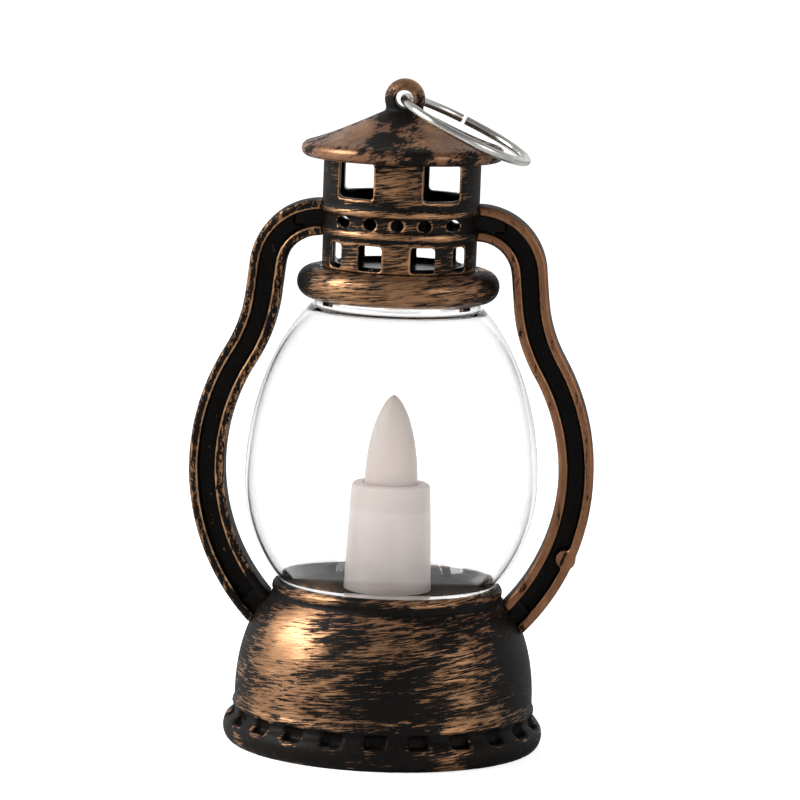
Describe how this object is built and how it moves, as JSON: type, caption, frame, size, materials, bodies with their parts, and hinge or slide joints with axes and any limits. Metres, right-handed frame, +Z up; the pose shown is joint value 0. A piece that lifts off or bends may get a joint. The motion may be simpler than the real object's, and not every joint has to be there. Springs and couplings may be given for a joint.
{
  "type": "battery candle lantern",
  "caption": "Small upright lantern with an egg-shaped clear globe round a candle light, curved side arms, pierced chimney, cone roof and a wire hanging ring.",
  "frame": {"origin": "on the floor, at the centre of the round foot, which is also the centre of the bounding box's bottom", "axes": "+Z up the lantern's axis; the two side arms lie along X; the front and back windows face -Y and +Y; the ring lies over towards +X"},
  "size_m": [0.0742, 0.059, 0.1226],
  "materials": {
    "bronze": "black-bronze moulding dry-brushed with copper",
    "copper": "copper paint over a black moulding",
    "dark_moulding": "fine matt",
    "candle": "satin warm white",
    "flame": "translucent satin",
    "clear_globe": "clear and smooth",
    "zinc_steel": "bright zinc plating",
    "plated_contact": "nickel plated",
    "circuit_green": "green solder mask",
    "component": "moulded black",
    "resistor_body": "ceramic",
    "black_knob": "fine matt",
    "red_wire": "red insulation",
    "black_wire": "black insulation",
    "white_wire": "white insulation",
    "diode": "milky epoxy"
  },
  "bodies": {
    "lantern": {"base_housing": "bronze", "bottom_cover": "dark_moulding", "cover_screws": "zinc_steel", "button_cells": "plated_contact", "contact_spring": "plated_contact", "contact_plate": "plated_contact", "circuit_board": "circuit_green", "control_chip": "component", "resistor": "resistor_body", "switch_body": "plated_contact", "red_lead": "red_wire", "black_lead": "black_wire", "led_wires": "white_wire", "led_leads": "plated_contact", "led_lens": "diode", "led_holder": "candle", "candle_sleeve": "candle", "flame_tip": "flame", "retaining_ring": "zinc_steel", "globe": "clear_globe", "globe_cap": "copper", "chimney": "copper", "roof": "copper", "left_arm": "bronze", "right_arm": "bronze"},
    "ring": {"hanging_ring": "zinc_steel"},
    "switch_knob": {"switch_knob": "black_knob"},
    "door": {"battery_door": "dark_moulding", "door_screws": "zinc_steel"}
  },
  "joints": [
    {"name": "ring_swing", "type": "hinge", "parent": "lantern", "child": "ring", "pos_m": [0, 0, 0.1189], "axis": [0, 1, 0], "range_deg": [-230, 0]},
    {"name": "switch_slide", "type": "slide", "parent": "lantern", "child": "switch_knob", "axis": [1, 0, 0], "range_m": [0, 0.002]},
    {"name": "battery_door_release", "type": "slide", "parent": "lantern", "child": "door", "axis": [0, 0, -1], "range_m": [0, 0.02]}
  ]
}
